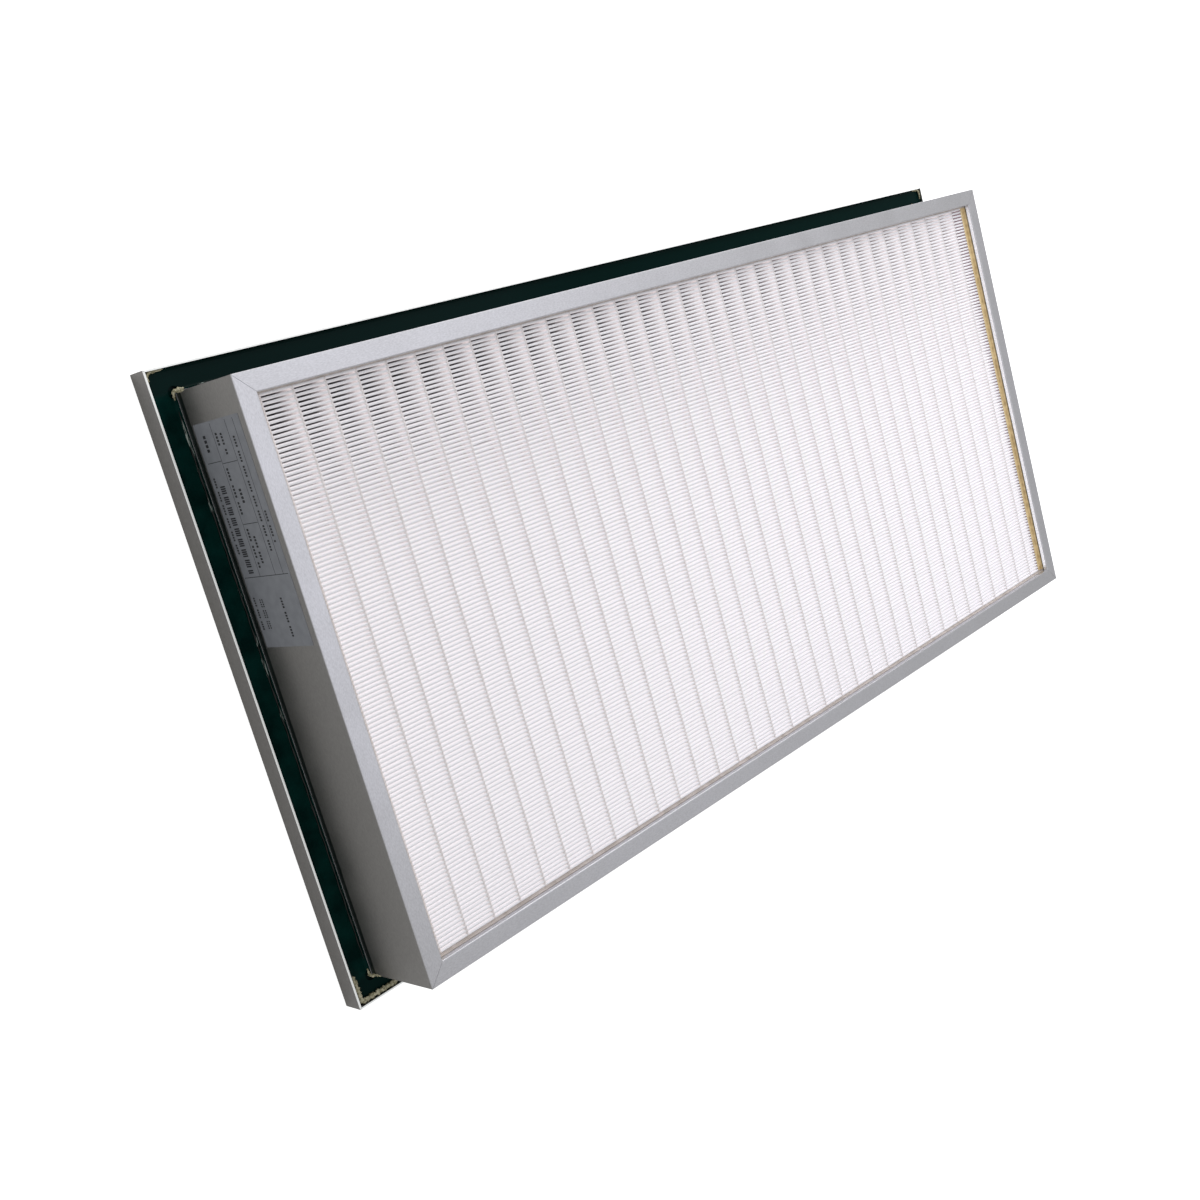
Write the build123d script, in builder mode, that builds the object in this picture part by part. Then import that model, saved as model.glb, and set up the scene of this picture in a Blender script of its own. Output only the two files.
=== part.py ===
from build123d import *
import os
from math import sqrt

# Gel-seal mini-pleat filter panel, lying on its rear face with the pleated front upward.
# X runs along the long side, Y along the short side, Z from the rear face to the front.
# The origin is the middle of the rear face. All lengths are millimetres.

# Overall
overall_length = 1219.0
overall_width = 610.0
frame_depth = 119.5

# Frame extrusion
flange_reach = 24.0
wall_thickness = 1.8
lip_width = 19.0
lip_thickness = 1.8
return_height = 5.5
channel_floor = 2.0
outer_leg_height = 24.5
outer_leg_thickness = 1.8
shoulder_width = 0.8
shoulder_height = 22.5
lip_edge_radius = 1.2
wall_edge_radius = 0.6
leg_edge_radius = 0.5
mitre_gap = 0.24

# Corner keys
key_thickness = 2.5
key_leg = 60.0
key_height = 34.0
key_clearance = 0.3
hook_thickness = 1.5
hook_reach = 3.0

# Pleat pack
front_recess = 11.0
rear_recess = 11.0
end_margin = 24.5
side_margin = 20.0
pleat_pitch = 4.12
fold_width = 2.2
potting_step = 3.5
media_thickness = 0.45

# Separator beads
bead_pitch = 33.26
bead_inset = 1.6
last_bead_margin = 20.0
bead_width = 1.2
bead_height = 0.5

# Gel
gel_drop = 5.0
meniscus_width = 3.4
meniscus_height = 2.6

# Channel sealant
fillet_leg = 6.0
fillet_hollow = 2.2
fillet_drop = 1.5
dab_radius = 7.0
dab_crown_radius = 3.0
dab_sink = 3.0
dab_rise = 4.5

# Side label
label_length = 203.5
label_height = 79.0
label_thickness = 0.2
label_end_gap = 31.0
label_floor = 32.0

# Derived sizes
body_length = overall_length - 2 * flange_reach
body_width = overall_width - 2 * flange_reach
channel_inside = flange_reach - outer_leg_thickness
pack_top = frame_depth - front_recess
pack_length = body_length - 2 * end_margin
pleat_count = int((body_width - 2 * side_margin - fold_width) / pleat_pitch)
pack_width = pleat_pitch * pleat_count + fold_width
bead_count = int((pack_length - bead_inset - last_bead_margin) / bead_pitch) + 1
label_far_end = body_width / 2 - label_end_gap
slot_depth = key_thickness + key_clearance
slot_height = key_height + key_clearance
slot_floor = (frame_depth - slot_height) / 2
gel_level = outer_leg_height - gel_drop
meniscus_top = gel_level + meniscus_height

# Each side of the frame: the direction it faces, the place of its wall and half its length
sides = {
    "right": (Vector(1, 0, 0), body_length / 2, body_width / 2),
    "top": (Vector(0, 1, 0), body_width / 2, body_length / 2),
    "left": (Vector(-1, 0, 0), body_length / 2, body_width / 2),
    "bottom": (Vector(0, -1, 0), body_width / 2, body_length / 2),
}

# Each corner by the signs of its X and Y
corners = {
    "top_right": (1, 1),
    "top_left": (-1, 1),
    "bottom_left": (-1, -1),
    "bottom_right": (1, -1),
}


def section_plane(outward, wall_place):
    """Plane of a side's section: first axis outward from its wall, second toward the front."""
    return Plane(origin=outward * wall_place, x_dir=outward, z_dir=outward.cross(Vector(0, 0, 1)))


def mitre_plane(outward, wall_place, half_run, end, gap):
    """Plane that cuts one end of a side at 45 degrees, half a gap short of the corner."""
    along = outward.cross(Vector(0, 0, 1)) * end
    normal = (along - outward) / sqrt(2)
    corner = outward * wall_place + along * half_run
    return Plane(origin=corner - normal * gap / 2, z_dir=normal)


def web(left, floor, width, height):
    """One flat web of a section, placed by its lower left corner."""
    with Locations((left, floor)):
        Rectangle(width, height, align=(Align.MIN, Align.MIN))


def key_slot():
    """Two facing hooks inside the wall, which hold a corner key."""
    back = -wall_thickness - slot_depth - hook_thickness
    slot_top = slot_floor + slot_height
    web(back, slot_floor - hook_thickness, slot_depth + hook_thickness, hook_thickness)
    web(back, slot_floor, hook_thickness, hook_reach)
    web(back, slot_top, slot_depth + hook_thickness, hook_thickness)
    web(back, slot_top - hook_reach, hook_thickness, hook_reach)


def frame_run(side):
    """One mitred length of the frame extrusion with its lips, key slot and gel channel."""
    outward, wall_place, half_run = sides[side]
    with BuildPart() as run:
        with BuildSketch(section_plane(outward, wall_place)) as section:
            web(-wall_thickness, 0, wall_thickness, frame_depth)
            web(-lip_width, frame_depth - lip_thickness, lip_width, lip_thickness)
            web(-lip_width, frame_depth - return_height, lip_thickness, return_height)
            web(-lip_width, 0, lip_width, lip_thickness)
            web(-lip_width, 0, lip_thickness, return_height)
            web(0, 0, flange_reach, channel_floor)
            web(channel_inside, 0, outer_leg_thickness, outer_leg_height)
            web(0, 0, shoulder_width, shoulder_height)
            key_slot()
            for level in (0, -1):
                lip_edge = section.vertices().group_by(Axis.Y)[level].sort_by(Axis.X)[0]
                fillet(lip_edge, lip_edge_radius)
            wall_edge = section.vertices().group_by(Axis.Y)[-1].sort_by(Axis.X)[-1]
            fillet(wall_edge, wall_edge_radius)
            fillet(section.vertices().group_by(Axis.X)[-1], leg_edge_radius)
        extrude(amount=half_run + flange_reach, both=True)
        for end in (1, -1):
            cut = mitre_plane(outward, wall_place, half_run, end, mitre_gap)
            split(bisect_by=cut, keep=Keep.BOTTOM)
    return run.part


def angle_plate(signs, thickness, leg, height, floor):
    """L-shaped plate that lies against the inside of the two walls at a corner."""
    x_sign, y_sign = signs
    x_wall = x_sign * (body_length / 2 - wall_thickness)
    y_wall = y_sign * (body_width / 2 - wall_thickness)
    with BuildPart() as plate:
        with BuildSketch(Plane.XY.offset(floor)):
            with BuildLine():
                Polyline(
                    (x_wall, y_wall),
                    (x_wall - x_sign * leg, y_wall),
                    (x_wall - x_sign * leg, y_wall - y_sign * thickness),
                    (x_wall - x_sign * thickness, y_wall - y_sign * thickness),
                    (x_wall - x_sign * thickness, y_wall - y_sign * leg),
                    (x_wall, y_wall - y_sign * leg),
                    close=True,
                )
            make_face()
        extrude(amount=height)
    return plate.part


def pleat_outline():
    """Closed outline of the folded sheet in Y and Z: front surface out, rear surface back."""
    half_fold = fold_width / 2
    half_inside = half_fold - media_thickness
    front_inside = pack_top - media_thickness
    rear_inside = rear_recess + media_thickness
    edge = pack_width / 2
    front = [(-edge, rear_recess), (-edge, pack_top)]
    rear = [(edge - media_thickness, rear_recess), (edge - media_thickness, front_inside)]
    for index in range(pleat_count):
        valley = -edge + half_fold + (index + 0.5) * pleat_pitch
        reach = pleat_pitch / 2
        front += [
            (valley - reach + half_fold, pack_top),
            (valley - half_inside, rear_inside),
            (valley + half_inside, rear_inside),
            (valley + reach - half_fold, pack_top),
        ]
        rear += [
            (reach - half_inside - valley, front_inside),
            (half_fold - valley, rear_recess),
            (-half_fold - valley, rear_recess),
            (-reach + half_inside - valley, front_inside),
        ]
    front += [(edge, pack_top), (edge, rear_recess)]
    rear += [(-edge + media_thickness, front_inside), (-edge + media_thickness, rear_recess)]
    return front + rear


def gel_run(side):
    """One mitred length of gel in the channel, drawn up to the walls on both sides."""
    outward, wall_place, half_run = sides[side]
    with BuildPart() as run:
        with BuildSketch(section_plane(outward, wall_place)):
            with BuildLine():
                Polyline(
                    (shoulder_width, meniscus_top),
                    (shoulder_width, channel_floor),
                    (channel_inside, channel_floor),
                    (channel_inside, meniscus_top),
                )
                outer_curve = TangentArc(
                    (channel_inside - meniscus_width, gel_level),
                    (channel_inside, meniscus_top),
                    tangent=(1, 0),
                )
                inner_curve = TangentArc(
                    (shoulder_width + meniscus_width, gel_level),
                    (shoulder_width, meniscus_top),
                    tangent=(-1, 0),
                )
                Line(outer_curve @ 0, inner_curve @ 0)
            make_face()
        extrude(amount=half_run + flange_reach, both=True)
        for end in (1, -1):
            cut = mitre_plane(outward, wall_place, half_run, end, 0)
            split(bisect_by=cut, keep=Keep.BOTTOM)
    return run.part


os.makedirs("parts", exist_ok=True)

# Frame runs
runs = {}
for side in sides:
    runs[side] = frame_run(side)
    runs[side].label = f"frame_{side}"
    export_step(runs[side], f"parts/frame_{side}.step")

# Corner keys
keys = {}
key_floor = slot_floor + key_clearance / 2
for corner, signs in corners.items():
    keys[corner] = angle_plate(signs, key_thickness, key_leg, key_height, key_floor)
    keys[corner].label = f"corner_key_{corner}"
    export_step(keys[corner], f"parts/corner_key_{corner}.step")

# Potting
key_spaces = [
    angle_plate(signs, slot_depth, key_leg, slot_height, slot_floor) for signs in corners.values()
]
with BuildPart() as potting:
    with BuildSketch(Plane.XY.offset(rear_recess)):
        Rectangle(body_length - 2 * wall_thickness, body_width - 2 * wall_thickness)
        Rectangle(pack_length, pack_width, mode=Mode.SUBTRACT)
    extrude(amount=pack_top - rear_recess)
    with BuildSketch(Plane.XY.offset(pack_top)):
        Rectangle(body_length - 2 * wall_thickness, body_width - 2 * wall_thickness)
        Rectangle(body_length - 2 * lip_width, body_width - 2 * lip_width, mode=Mode.SUBTRACT)
    extrude(amount=potting_step)
    for displaced in [*runs.values(), *key_spaces]:
        add(displaced, mode=Mode.SUBTRACT)
potting.part.label = "potting"
export_step(potting.part, "parts/potting.step")

# Pleat pack
with BuildPart() as pleat_pack:
    with BuildSketch(Plane.YZ):
        with BuildLine():
            Polyline(*pleat_outline(), close=True)
        make_face()
    extrude(amount=pack_length / 2, both=True)
pleat_pack.part.label = "pleat_pack"
export_step(pleat_pack.part, "parts/pleat_pack.step")

# Separator beads
for index in range(bead_count):
    place = -pack_length / 2 + bead_inset + index * bead_pitch
    with BuildPart() as bead:
        with Locations((place, 0, pack_top)):
            Box(bead_width, pack_width, bead_height, align=(Align.CENTER, Align.CENTER, Align.MIN))
        with Locations((place, 0, rear_recess)):
            Box(bead_width, pack_width, bead_height, align=(Align.CENTER, Align.CENTER, Align.MAX))
    bead.part.label = f"separator_bead_{index + 1:02d}"
    export_step(bead.part, f"parts/separator_bead_{index + 1:02d}.step")

# Channel sealant
sealants = []
for corner, (x_sign, y_sign) in corners.items():
    x_leg = x_sign * (body_length / 2 + channel_inside)
    y_leg = y_sign * (body_width / 2 + channel_inside)
    with BuildPart() as corner_fillet:
        with BuildSketch(Plane.XY.offset(channel_floor)):
            with BuildLine():
                Line((x_leg, y_leg), (x_leg - x_sign * fillet_leg, y_leg))
                ThreePointArc(
                    (x_leg - x_sign * fillet_leg, y_leg),
                    (x_leg - x_sign * fillet_hollow, y_leg - y_sign * fillet_hollow),
                    (x_leg, y_leg - y_sign * fillet_leg),
                )
                Line((x_leg, y_leg - y_sign * fillet_leg), (x_leg, y_leg))
            make_face()
        extrude(amount=outer_leg_height - fillet_drop - channel_floor)
    corner_fillet.part.label = f"leg_sealant_{corner}"
    export_step(corner_fillet.part, f"parts/leg_sealant_{corner}.step")

    with BuildPart() as wall_dab:
        with Locations((x_sign * body_length / 2, y_sign * body_width / 2, gel_level - dab_sink)):
            Cone(
                dab_radius,
                dab_crown_radius,
                dab_sink + shoulder_height - gel_level + dab_rise,
                align=(Align.CENTER, Align.CENTER, Align.MIN),
            )
        with BuildSketch():
            Rectangle(body_length, body_width)
        extrude(amount=frame_depth, mode=Mode.SUBTRACT)
        with BuildSketch():
            Rectangle(body_length + 2 * shoulder_width, body_width + 2 * shoulder_width)
        extrude(amount=shoulder_height, mode=Mode.SUBTRACT)
    wall_dab.part.label = f"wall_sealant_{corner}"
    export_step(wall_dab.part, f"parts/wall_sealant_{corner}.step")
    sealants += [corner_fillet.part, wall_dab.part]

# Gel
gel_runs = [gel_run(side) for side in sides]
with BuildPart() as gel:
    for run in gel_runs:
        add(run)
    for sealant in sealants:
        add(sealant, mode=Mode.SUBTRACT)
gel.part.label = "gel"
export_step(gel.part, "parts/gel.step")

# Side label
with BuildPart() as side_label:
    with Locations((-body_length / 2, label_far_end, label_floor)):
        Box(
            label_thickness,
            label_length,
            label_height,
            align=(Align.MAX, Align.MAX, Align.MIN),
        )
side_label.part.label = "side_label"
export_step(side_label.part, "parts/side_label.step")
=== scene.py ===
"""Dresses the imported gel-seal filter panel: frame, pleat pack, glue beads, gel, sealant, label and studio.

The frame of the CAD model holds throughout: X along the panel, Y across it, Z up through its depth, origin in the
middle of the rear face. Sizes in the classes are millimetres, and meshes are written in metres.
"""

import logging
from dataclasses import dataclass, replace
from enum import Enum

import bpy
import numpy as np
from mathutils import Matrix


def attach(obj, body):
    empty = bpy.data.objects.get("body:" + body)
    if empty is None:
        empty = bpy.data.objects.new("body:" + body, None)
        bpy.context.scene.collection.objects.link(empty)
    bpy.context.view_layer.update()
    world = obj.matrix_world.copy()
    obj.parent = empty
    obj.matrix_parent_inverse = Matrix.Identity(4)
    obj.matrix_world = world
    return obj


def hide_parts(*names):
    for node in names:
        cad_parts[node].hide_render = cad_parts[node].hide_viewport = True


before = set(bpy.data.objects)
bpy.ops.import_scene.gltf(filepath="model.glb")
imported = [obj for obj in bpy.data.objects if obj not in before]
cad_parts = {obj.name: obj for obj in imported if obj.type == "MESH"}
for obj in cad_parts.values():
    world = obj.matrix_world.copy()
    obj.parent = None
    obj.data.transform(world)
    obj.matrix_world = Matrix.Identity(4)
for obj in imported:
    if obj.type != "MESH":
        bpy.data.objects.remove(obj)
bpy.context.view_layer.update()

LOG = logging.getLogger("filter_panel")
METRES = 0.001
TINY = 1e-9
WHITE = (1.0, 1.0, 1.0, 1.0)
NOISE_SPAN = (0.3, 0.7)
ARC_DEGREES = (-90, -45, 0, 45, 90)
CORNERS = {"top_right": (1, 1), "top_left": (-1, 1), "bottom_left": (-1, -1), "bottom_right": (1, -1)}
NodeList = tuple[str, ...]
Socket = bpy.types.NodeSocket
Span = tuple[float, float]
Place = tuple[float, float, float]
Box = tuple[float, float, float, float]


class Run(Enum):
    """Direction in which a length of the frame was extruded."""

    ALONG_X = (0.35, 1.0, 1.0)
    ALONG_Y = (1.0, 0.35, 1.0)


class Finish(Enum):
    """Kinds of finish for the new pieces."""

    MEDIA = "media"
    BEAD = "bead"
    SEALANT = "sealant"
    LABEL = "label"
    GEL = "gel"


# Tools for colours, nodes and meshes


def linear(hex_colour: str) -> tuple[float, float, float, float]:
    """Turns an sRGB hex colour into linear RGBA.

    Args:
        hex_colour: Six hex digits after a hash sign.

    Returns:
        Red, green, blue and an alpha of one, as Blender's sockets take them.
    """
    channels = [int(hex_colour[i:i + 2], 16) / 255 for i in (1, 3, 5)]
    curve = [c / 12.92 if c <= 0.04045 else ((c + 0.055) / 1.055) ** 2.4 for c in channels]
    return (*curve, 1.0)


def add_node(tree: bpy.types.NodeTree, kind: str, settings: dict | None = None,
             links: dict | None = None) -> bpy.types.Node:
    """Adds a node, sets its properties and sockets, and links its inputs.

    Args:
        tree: Node tree that gets the node.
        kind: Blender's name for the node's type.
        settings: Values by property name, or by socket name or number.
        links: Output sockets by the name or number of the input that each feeds.

    Returns:
        The new node.
    """
    node = tree.nodes.new(kind)
    for key, value in (settings or {}).items():
        if isinstance(key, str) and hasattr(node, key):
            setattr(node, key, value)
        else:
            node.inputs[key].default_value = value
    for key, output in (links or {}).items():
        tree.links.new(output, node.inputs[key])
    return node


def new_material(name: str) -> tuple[bpy.types.Material, bpy.types.NodeTree]:
    """Makes an empty node material.

    Args:
        name: Name of the real material and its process.

    Returns:
        The material and its cleared node tree.
    """
    material = bpy.data.materials.new(name)
    material.use_nodes = True
    material.node_tree.nodes.clear()
    return material, material.node_tree


def close_material(tree: bpy.types.NodeTree, settings: dict, links: dict) -> None:
    """Ends a node tree with a Principled shader and the output.

    Args:
        tree: Node tree of the material.
        settings: Values of the shader's sockets.
        links: Sockets that feed the shader.
    """
    shader = add_node(tree, "ShaderNodeBsdfPrincipled", settings, links)
    add_node(tree, "ShaderNodeOutputMaterial", links={"Surface": shader.outputs[0]})


def calculate(tree: bpy.types.NodeTree, operation: str, *inputs: Socket | float) -> Socket:
    """Adds a Math node.

    Args:
        tree: Node tree that gets the node.
        operation: Blender's name for the operation.
        inputs: Numbers that set the node's inputs in turn, or sockets that feed them.

    Returns:
        The node's result.
    """
    numbers = {key: value for key, value in enumerate(inputs) if isinstance(value, float)}
    sockets = {key: value for key, value in enumerate(inputs) if key not in numbers}
    return add_node(tree, "ShaderNodeMath", {"operation": operation} | numbers, sockets).outputs[0]


def remap(tree: bpy.types.NodeTree, value: Socket, source: Span, target: Span = (0.0, 1.0)) -> Socket:
    """Adds a Map Range node, which turns one span of values into another and stops at its ends.

    Args:
        tree: Node tree that gets the node.
        value: Socket to remap.
        source: Span of its values.
        target: Span of the result.

    Returns:
        The node's result.
    """
    spans = {"From Min": source[0], "From Max": source[1], "To Min": target[0], "To Max": target[1]}
    return add_node(tree, "ShaderNodeMapRange", spans, {"Value": value}).outputs[0]


def noise(tree: bpy.types.NodeTree, place: Socket, size_mm: float, detail: float) -> Socket:
    """Adds a noise whose lumps have a real size.

    Args:
        tree: Node tree that gets the node.
        place: Coordinates in metres.
        size_mm: Size of its lumps.
        detail: Number of finer layers.

    Returns:
        The noise, around one half.
    """
    return add_node(tree, "ShaderNodeTexNoise", {"Scale": 1 / (size_mm * METRES), "Detail": detail},
                    {"Vector": place}).outputs[0]


def blend(tree: bpy.types.NodeTree, share: Socket, low: Socket | str, high: Socket | str) -> Socket:
    """Mixes two colours, each a socket or a hex colour.

    Args:
        tree: Node tree that gets the node.
        share: Share of the second colour.
        low: First colour.
        high: Second colour.

    Returns:
        The mixed colour.
    """
    pair = {6: low, 7: high}
    fixed = {key: linear(tone) for key, tone in pair.items() if isinstance(tone, str)}
    fed = {key: tone for key, tone in pair.items() if key not in fixed}
    return add_node(tree, "ShaderNodeMix", {"data_type": "RGBA"} | fixed, {0: share} | fed).outputs[2]


def choose(tree: bpy.types.NodeTree, mask: Socket, outside: Socket, inside: float) -> Socket:
    """Mixes a number into a value by a mask.

    Args:
        tree: Node tree that gets the node.
        mask: One where the number holds.
        outside: Value where the mask is zero.
        inside: Number where the mask is one.

    Returns:
        The mixed value.
    """
    return add_node(tree, "ShaderNodeMix", {"data_type": "FLOAT", 3: inside}, {0: mask, 2: outside}).outputs[0]


def relief(tree: bpy.types.NodeTree, height: Socket, strength: float, depth_mm: float) -> Socket:
    """Adds a bump.

    Args:
        tree: Node tree that gets the node.
        height: Height of the relief, from zero to one.
        strength: Strength of the bump.
        depth_mm: Height that one stands for.

    Returns:
        The bumped normal.
    """
    return add_node(tree, "ShaderNodeBump", {"Strength": strength, "Distance": depth_mm * METRES},
                    {"Height": height}).outputs[0]


def separate(tree: bpy.types.NodeTree, vector: Socket) -> bpy.types.NodeOutputs:
    """Splits a vector.

    Args:
        tree: Node tree that gets the node.
        vector: Vector to split.

    Returns:
        The outputs X, Y and Z.
    """
    return add_node(tree, "ShaderNodeSeparateXYZ", links={0: vector}).outputs


def grid_faces(rows: int, columns: int, wrap_rows: bool = False) -> np.ndarray:
    """Quads of a grid whose point (i, j) has the number i * columns + j.

    Args:
        rows: Points along the first parameter.
        columns: Points along the second parameter.
        wrap_rows: Whether the last row joins the first.

    Returns:
        Array of quads, four point numbers each.
    """
    i = np.arange(rows if wrap_rows else rows - 1)[:, None]
    j = np.arange(columns - 1)[None, :]
    a = i * columns + j
    b = ((i + 1) % rows) * columns + j
    return np.stack([a, b, b + 1, a + 1], axis=-1).reshape(-1, 4)


def build_mesh(name: str, points: np.ndarray, quads: np.ndarray, caps: list[np.ndarray] | None = None,
               smooth: bool = True) -> bpy.types.Object:
    """Puts points in millimetres and quads into a mesh object at the origin.

    Args:
        name: Name of the object.
        points: Array of points in millimetres.
        quads: Array of quads.
        caps: Rings of point numbers that close the ends.
        smooth: Whether the faces are shaded smooth.

    Returns:
        The new object, linked to the scene.
    """
    faces = quads.tolist() + [ring.tolist() for ring in caps or []]
    mesh = bpy.data.meshes.new(name)
    mesh.from_pydata((points.reshape(-1, 3) * METRES).tolist(), [], faces)
    mesh.polygons.foreach_set("use_smooth", np.full(len(faces), smooth))
    mesh.update()
    piece = bpy.data.objects.new(name, mesh)
    bpy.context.scene.collection.objects.link(piece)
    return piece


def fit_out(piece: bpy.types.Object, material: bpy.types.Material,
            nodes: NodeList = ()) -> None:
    """Gives a piece its material and body, and lets it stand for its CAD nodes.

    Args:
        piece: The new piece.
        material: Its material.
        nodes: CAD nodes that the piece replaces.
    """
    piece.data.materials.append(material)
    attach(piece, "root")
    if nodes:
        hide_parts(*nodes)
    LOG.info("%s: %d faces", piece.name, len(piece.data.polygons))


def dress(node: str, material: bpy.types.Material) -> None:
    """Gives a CAD node a new material in all its slots.

    Args:
        node: Name of the CAD node.
        material: Material for it.
    """
    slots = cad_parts[node].data.materials
    slots.clear()
    slots.append(material)
    LOG.info("%s: dressed in %s", node, material.name)


# Finishes


@dataclass(frozen=True)
class AnodisedAluminium:
    """Satin anodised aluminium, extruded: fine die lines along the run, outer webs greyer than the lips as painted
    shade, and a painted highlight on the rim.
    """

    lip_hex: str = "#cdcdd1"
    # Painted light: the web tone is painted shade, the rim tone a painted highlight, the next a painted reflection of
    # the gel
    web_shade_hex: str = "#9e9c9a"
    rim_highlight_hex: str = "#fbfdfd"
    gel_reflection_hex: str = "#34403e"
    metallic: float = 0.82
    rim_metallic: float = 0.0
    rim_glint: float = 0.25
    return_metallic: float = 1.0
    return_roughness: float = 0.22
    roughness: float = 0.42
    sheen_drift: float = 0.04
    mottle: Span = (0.91, 1.09)
    die_line_mm: float = 0.9
    cloud_mm: float = 45.0
    relief_mm: float = 0.02
    relief_strength: float = 0.25
    body_half: Span = (585.0, 280.5)
    leg_start: float = 5.0
    return_inset: float = 18.5
    return_band: float = 1.0
    upright_slope: Span = (0.03, 0.15)
    # Reach, top and ragged edge of the painted dark-green reflection of the gel on the wall
    gel_reflection_reach: float = 1.6
    gel_reflection_top: float = 29.5
    gel_reflection_edge: float = 1.2
    gel_reflection_fade: float = 0.6

    def zones(self, tree: bpy.types.NodeTree, place: bpy.types.Node, cloud: Socket) -> dict[str, Socket]:
        """Masks of the zones of a run, each one inside its zone and zero outside.

        The distance past the body's walls is the larger of |x| and |y| less half the body's length and width. A
        face that doesn't look up is outer web where that distance is above zero, and a face that looks up is rim
        from the leg's start on. The end lips' return stands at a fixed distance inside the walls. A web within a
        small reach of the wall takes a painted dark-green reflection of the gel up to a ragged line. The web's mask
        places painted shade, and the rim's and the return's masks place a painted highlight.

        Args:
            tree: Node tree of the material.
            place: Its texture coordinates.
            cloud: Noise that makes the edge of the painted gel reflection ragged.

        Returns:
            The masks by the name of their zone.
        """
        half = (self.body_half[0] * METRES, self.body_half[1] * METRES, 0.0)
        distance = add_node(tree, "ShaderNodeVectorMath", {"operation": "ABSOLUTE"}, {0: place.outputs["Object"]})
        past = add_node(tree, "ShaderNodeVectorMath", {"operation": "SUBTRACT", 1: half}, {0: distance.outputs[0]})
        beyond = separate(tree, past.outputs[0])
        farther = calculate(tree, "MAXIMUM", beyond["X"], beyond["Y"])
        facing = separate(tree, place.outputs["Normal"])
        upright = remap(tree, facing["Z"], self.upright_slope, (1.0, 0.0))
        web = calculate(tree, "MULTIPLY", calculate(tree, "GREATER_THAN", farther, 0.0), upright)
        leg = calculate(tree, "GREATER_THAN", farther, self.leg_start * METRES)
        rim = calculate(tree, "MULTIPLY", leg, calculate(tree, "SUBTRACT", 1.0, upright))
        at_return = calculate(tree, "COMPARE", beyond["X"], -self.return_inset * METRES, self.return_band * METRES)
        lip_return = calculate(tree, "MULTIPLY", at_return, upright)
        # Painted reflection of the gel: webs near the wall and below a ragged height
        edge, fade = self.gel_reflection_edge * METRES, self.gel_reflection_fade * METRES
        height = separate(tree, place.outputs["Object"])["Z"]
        level = calculate(tree, "ADD", height, remap(tree, cloud, (0.0, 1.0), (-edge, edge)))
        top = self.gel_reflection_top * METRES
        low = remap(tree, level, (top - fade, top + fade), (1.0, 0.0))
        near = calculate(tree, "LESS_THAN", farther, self.gel_reflection_reach * METRES)
        gel_reflection = calculate(tree, "MULTIPLY", calculate(tree, "MULTIPLY", low, near), web)
        return {"web": web, "rim": rim, "return": lip_return, "gel_reflection": gel_reflection}

    def material(self, run: Run) -> bpy.types.Material:
        """Makes the metal for one direction of extrusion.

        Noise drawn out along the run gives the die lines, and a larger cloud changes the sheen. The rim is painted
        near white and not metal as a painted highlight, and has a weak glow for its painted glint. The lip's return
        takes the same painted highlight colour and has a smoother sheen. The webs are painted greyer as painted
        shade, and near the wall they take a painted dark-green reflection of the gel.

        Args:
            run: Direction of the die lines.

        Returns:
            The material.
        """
        # Anodising over an extruded web leaves a grey satin sheet, with streaks drawn out along the run
        material, tree = new_material(f"anodised_aluminium_extruded_{run.name.lower()}")
        place = add_node(tree, "ShaderNodeTexCoord")
        drawn = add_node(tree, "ShaderNodeMapping", {"Scale": run.value}, {"Vector": place.outputs["Object"]})
        streak = noise(tree, drawn.outputs[0], self.die_line_mm, 2.0)
        cloud = noise(tree, place.outputs["Object"], self.cloud_mm, 3.0)
        zones = self.zones(tree, place, cloud)
        # Painted highlight on the rim and the return, then painted shade on the webs
        bright = calculate(tree, "MAXIMUM", zones["rim"], zones["return"])
        top = blend(tree, bright, self.lip_hex, self.rim_highlight_hex)
        shaded = blend(tree, zones["web"], top, self.web_shade_hex)
        # Painted dark-green reflection of the gel on the wall's foot
        shade = blend(tree, zones["gel_reflection"], shaded, self.gel_reflection_hex)
        mottle = remap(tree, streak, NOISE_SPAN, self.mottle)
        tone = add_node(tree, "ShaderNodeVectorMath", {"operation": "SCALE"}, {0: shade, "Scale": mottle})
        # The rim is made not metal so that its painted highlight colour shows
        highlight_metallic = remap(tree, zones["rim"], (0.0, 1.0), (self.metallic, self.rim_metallic))
        satin = remap(tree, cloud, NOISE_SPAN, (self.roughness - self.sheen_drift, self.roughness + self.sheen_drift))
        material.cycles.emission_sampling = "NONE"
        # The rim's weak glow is a painted glint
        close_material(tree, {"Emission Color": linear(self.rim_highlight_hex)}, {
            "Base Color": tone.outputs[0],
            "Metallic": choose(tree, zones["return"], highlight_metallic, self.return_metallic),
            "Roughness": choose(tree, zones["return"], satin, self.return_roughness),
            "Normal": relief(tree, streak, self.relief_strength, self.relief_mm),
            "Emission Strength": calculate(tree, "MULTIPLY", zones["rim"], self.rim_glint)})
        return material


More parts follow.
